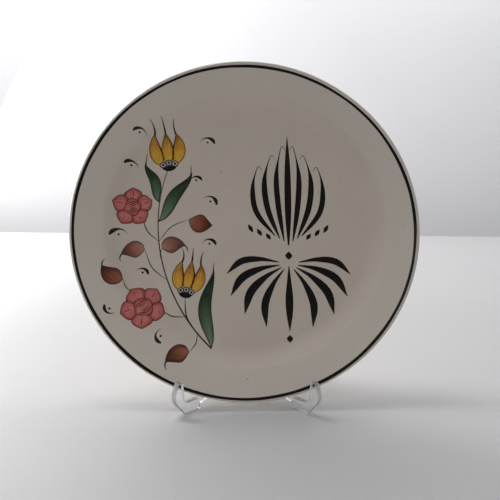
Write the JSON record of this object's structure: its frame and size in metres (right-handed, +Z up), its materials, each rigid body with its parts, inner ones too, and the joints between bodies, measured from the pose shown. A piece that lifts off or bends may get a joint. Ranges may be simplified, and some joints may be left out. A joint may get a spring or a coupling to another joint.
{
  "type": "decorative plate on stand",
  "caption": "Round hand painted ceramic plate with a wide rising rim, leaning on a clear plastic display stand of two interlocking crossed legs with hooked feet.",
  "frame": {"origin": "on the table, in the middle of the stand's footprint, below the line where the two legs cross", "axes": "+Z up; +Y away from someone who looks at the painted face; +X to that person's right"},
  "size_m": [0.25, 0.1102, 0.2413],
  "materials": {
    "glaze": "glossy, hand glazed",
    "clear_plastic": "clear, polished"
  },
  "bodies": {
    "lower": {"lower_leg": "clear_plastic"},
    "upper": {"upper_leg": "clear_plastic"},
    "dish": {"plate": "glaze"}
  },
  "joints": [
    {"name": "upper_leg_lift", "type": "slide", "parent": "lower", "child": "upper", "axis": [0, 0, 1], "range_m": [0, 0.06]},
    {"name": "plate_lift", "type": "slide", "parent": "upper", "child": "dish", "axis": [0, 0.3256, 0.9455], "range_m": [0, 0.1]}
  ]
}
